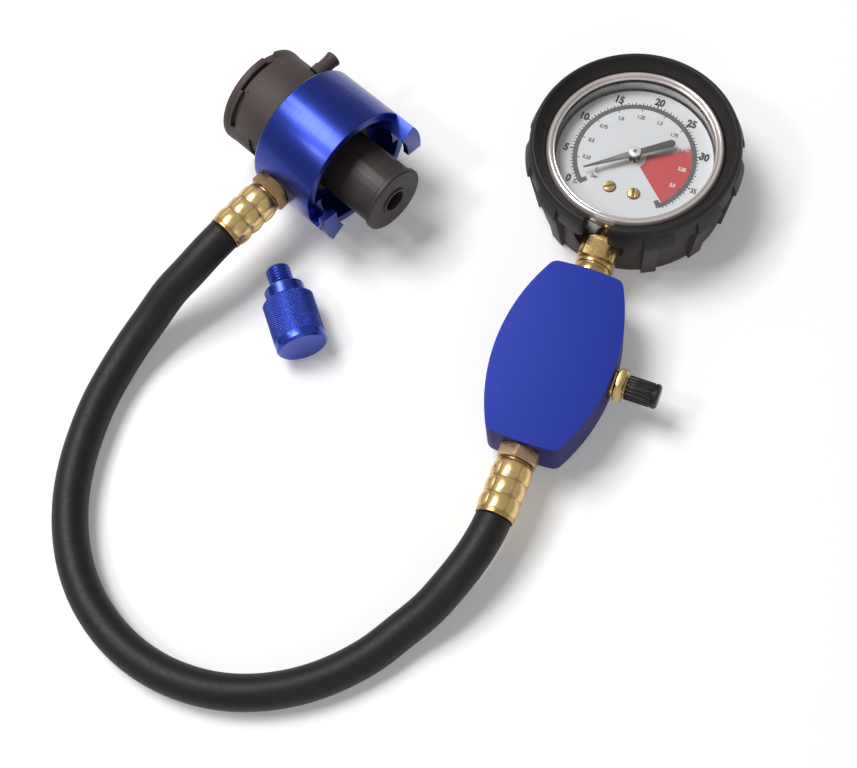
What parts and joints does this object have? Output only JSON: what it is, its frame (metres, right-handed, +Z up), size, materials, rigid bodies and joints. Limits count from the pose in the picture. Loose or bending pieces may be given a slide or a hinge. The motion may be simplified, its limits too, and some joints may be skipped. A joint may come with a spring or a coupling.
{
  "type": "radiator pressure tester",
  "caption": "Cooling-system pressure tester: gauge in a rubber boot, blue block with an air valve, rubber hose, bayonet adapter head and a loose test plug.",
  "frame": {"origin": "centre of the boot's foot, on the surface the tester lies on", "axes": "+Z up, out of the gauge's face; +Y from the block to the gauge along the stem; +X to the air valve's side"},
  "size_m": [0.2114, 0.2987, 0.054],
  "materials": {
    "boot_rubber": "matt moulded black rubber",
    "case_steel": "drawn steel",
    "bezel_chrome": "rolled and polished",
    "lens_glass": "clear flat window",
    "gasket_rubber": "plain",
    "dial_face": "pale printed dial",
    "dial_brass": "turned and stamped",
    "pointer_black": "satin black",
    "spring_steel": "bright",
    "brass": "machined brass",
    "crimp_brass": "crimped brass",
    "blue_anodised": "blue anodised, finely brushed",
    "cap_plastic": "moulded",
    "hose_rubber": "smooth black hose cover",
    "head_composite": "brownish grey, machined and matt"
  },
  "bodies": {
    "frame": {"rubber_boot": "boot_rubber", "gauge_case": "case_steel", "bezel_ring": "bezel_chrome", "lens": "lens_glass", "lens_gasket": "gasket_rubber", "dial_plate": "dial_face", "dial_screws": "dial_brass", "stop_pin": "pointer_black", "hairspring": "spring_steel", "movement_plates": "dial_brass", "movement_pillars": "dial_brass", "movement_screws": "dial_brass", "gauge_socket": "brass", "manifold_block": "blue_anodised", "valve_body": "brass", "valve_core": "dial_brass", "valve_spring": "spring_steel", "block_fitting": "brass", "block_ferrule": "crimp_brass", "hose_ends": "hose_rubber", "hose": "hose_rubber", "head_ferrule": "crimp_brass", "head_fitting": "brass", "adapter_body": "blue_anodised", "filler_neck": "head_composite", "overflow_nipple": "head_composite", "seal_stem": "head_composite", "tip_bush": "head_composite", "stem_oring": "gasket_rubber"},
    "hand": {"pointer": "pointer_black", "pinion": "dial_brass"},
    "sector": {"sector_gear": "dial_brass"},
    "link": {"sector_link": "dial_brass"},
    "spring_tube": {"bourdon_tube": "brass", "tube_tip": "dial_brass"},
    "valve_stem": {"valve_pin": "spring_steel"},
    "cap": {"dust_cap": "cap_plastic", "cap_seal": "gasket_rubber"},
    "loose_plug": {"test_plug": "blue_anodised", "plug_oring": "gasket_rubber"}
  },
  "joints": [
    {"name": "sector_swing", "type": "hinge", "parent": "frame", "child": "sector", "pos_m": [-0.0135, -0.00024, 0.015], "axis": [0, 0, 1], "range_deg": [0, 32.5]},
    {"name": "pointer_turn", "type": "hinge", "parent": "frame", "child": "hand", "pos_m": [0, 0, 0.015], "axis": [0, 0, 1], "range_deg": [-262, 1]},
    {"name": "link_swing", "type": "hinge", "parent": "sector", "child": "link", "pos_m": [-0.01799, 0.00196, 0.0164], "axis": [0, 0, 1], "range_deg": [-38, 1]},
    {"name": "tube_flex", "type": "hinge", "parent": "frame", "child": "spring_tube", "pos_m": [0.009, -0.0223, 0.015], "axis": [0, 0, 1], "range_deg": [-0.1, 4.6]},
    {"name": "valve_pin_press", "type": "slide", "parent": "frame", "child": "valve_stem", "axis": [-1, 0, 0], "range_m": [0, 0.0012], "stiffness_N_per_m": 100, "springref_m": -0.0005},
    {"name": "cap_off", "type": "slide", "parent": "frame", "child": "cap", "axis": [1, 0, 0], "range_m": [0, 0.015]},
    {"name": "plug_lift", "type": "slide", "parent": "frame", "child": "loose_plug", "axis": [0, 0, 1], "range_m": [0, 0.05]}
  ],
  "couplings": [
    {"joint": "pointer_turn", "follows": "sector_swing", "ratio": -8},
    {"joint": "link_swing", "follows": "sector_swing", "ratio": -1.14},
    {"joint": "tube_flex", "follows": "sector_swing", "ratio": 0.134}
  ]
}
